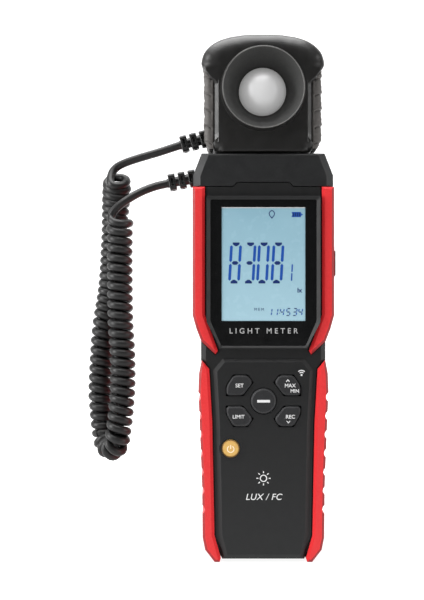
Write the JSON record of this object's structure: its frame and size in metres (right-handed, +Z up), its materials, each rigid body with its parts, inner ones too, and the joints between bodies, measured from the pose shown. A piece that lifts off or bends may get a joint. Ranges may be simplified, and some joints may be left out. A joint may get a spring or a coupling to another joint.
{
  "type": "light meter",
  "caption": "Handheld light meter with a display, soft keys, rubber bumpers and a lift-off dome sensor head on a curly cord.",
  "frame": {"origin": "middle of the base, level with the ends of the lower bumpers that the meter stands on", "axes": "+X to the right seen from the display, +Y to the back, +Z up; the display faces -Y"},
  "size_m": [0.1037, 0.036, 0.2171],
  "materials": {
    "case_black": "fine-grained matte black moulding",
    "cap_black": "fine-grained satin black moulding",
    "bumper_red": "soft matte red overmould",
    "grip_black": "matte ribbed black rubber",
    "cord_black": "satin black cord jacket",
    "lens_black": "gloss black window with a clear display area",
    "lcd_blue": "pale blue backlit liquid crystal panel",
    "light_guide": "milky white light guide",
    "key_grey": "matte dark grey key with white legend",
    "key_amber": "matte amber key with cream symbol",
    "board_green": "green solder mask",
    "dome_white": "opal white diffuser",
    "filter_green": "polished colour glass",
    "sensor_black": "black moulded component",
    "steel": "bright plated steel",
    "cell_wrap": "printed shrink sleeve"
  },
  "bodies": {
    "meter": {"front_case": "case_black", "rear_case": "case_black", "top_cap": "cap_black", "upper_bumper_left": "bumper_red", "upper_bumper_right": "bumper_red", "lower_bumper_left": "bumper_red", "lower_bumper_right": "bumper_red", "display_lens": "lens_black", "lcd_panel": "lcd_blue", "lcd_backlight": "light_guide", "main_board": "board_green", "key_mat": "grip_black", "buzzer": "sensor_black", "battery_1": "cell_wrap", "battery_2": "cell_wrap", "battery_3": "cell_wrap", "battery_contact_negative": "steel", "battery_contact_bridge_low": "steel", "battery_contact_bridge_high": "steel", "battery_contact_positive": "steel", "case_screw_1": "steel", "case_screw_2": "steel", "case_screw_3": "steel", "case_screw_4": "steel", "meter_strain_relief": "cord_black", "cord_lead_meter": "cord_black", "cord_coil_front": "cord_black"},
    "sensor_head": {"head_front_shell": "case_black", "head_rear_shell": "case_black", "head_grip_left": "grip_black", "head_grip_right": "grip_black", "head_screw_1": "steel", "head_screw_2": "steel", "head_screw_3": "steel", "head_screw_4": "steel", "head_strain_relief": "cord_black", "diffuser_dome": "dome_white", "diffuser_ring": "sensor_black", "light_filter": "filter_green", "photodiode": "sensor_black", "sensor_board": "board_green", "cord_lead_head": "cord_black", "cord_coil_rear": "cord_black"},
    "key_set": {"key_set": "key_grey"},
    "key_limit": {"key_limit": "key_grey"},
    "key_max_min": {"key_max_min": "key_grey"},
    "key_record": {"key_record": "key_grey"},
    "key_enter": {"key_enter": "key_grey"},
    "key_power": {"key_power": "key_amber"},
    "side_key": {"side_key": "key_grey"},
    "battery_door": {"battery_door": "case_black", "battery_door_screw": "steel"}
  },
  "joints": [
    {"name": "sensor_head_lift", "type": "slide", "parent": "meter", "child": "sensor_head", "axis": [0, 0, 1], "range_m": [0, 0.025], "deforming": ["cord_coil_rear"]},
    {"name": "key_set_press", "type": "slide", "parent": "meter", "child": "key_set", "axis": [0, 1, 0], "range_m": [0, 0.0008], "stiffness_N_per_m": 1500},
    {"name": "key_limit_press", "type": "slide", "parent": "meter", "child": "key_limit", "axis": [0, 1, 0], "range_m": [0, 0.0008], "stiffness_N_per_m": 1500},
    {"name": "key_max_min_press", "type": "slide", "parent": "meter", "child": "key_max_min", "axis": [0, 1, 0], "range_m": [0, 0.0008], "stiffness_N_per_m": 1500},
    {"name": "key_record_press", "type": "slide", "parent": "meter", "child": "key_record", "axis": [0, 1, 0], "range_m": [0, 0.0008], "stiffness_N_per_m": 1500},
    {"name": "key_enter_press", "type": "slide", "parent": "meter", "child": "key_enter", "axis": [0, 1, 0], "range_m": [0, 0.0008], "stiffness_N_per_m": 1500},
    {"name": "key_power_press", "type": "slide", "parent": "meter", "child": "key_power", "axis": [0, 1, 0], "range_m": [0, 0.0008], "stiffness_N_per_m": 1500},
    {"name": "side_key_press", "type": "slide", "parent": "meter", "child": "side_key", "axis": [-1, 0, 0], "range_m": [0, 0.0008], "stiffness_N_per_m": 1500},
    {"name": "battery_door_slide", "type": "slide", "parent": "meter", "child": "battery_door", "axis": [0, 1, 0], "range_m": [0, 0.012]}
  ]
}
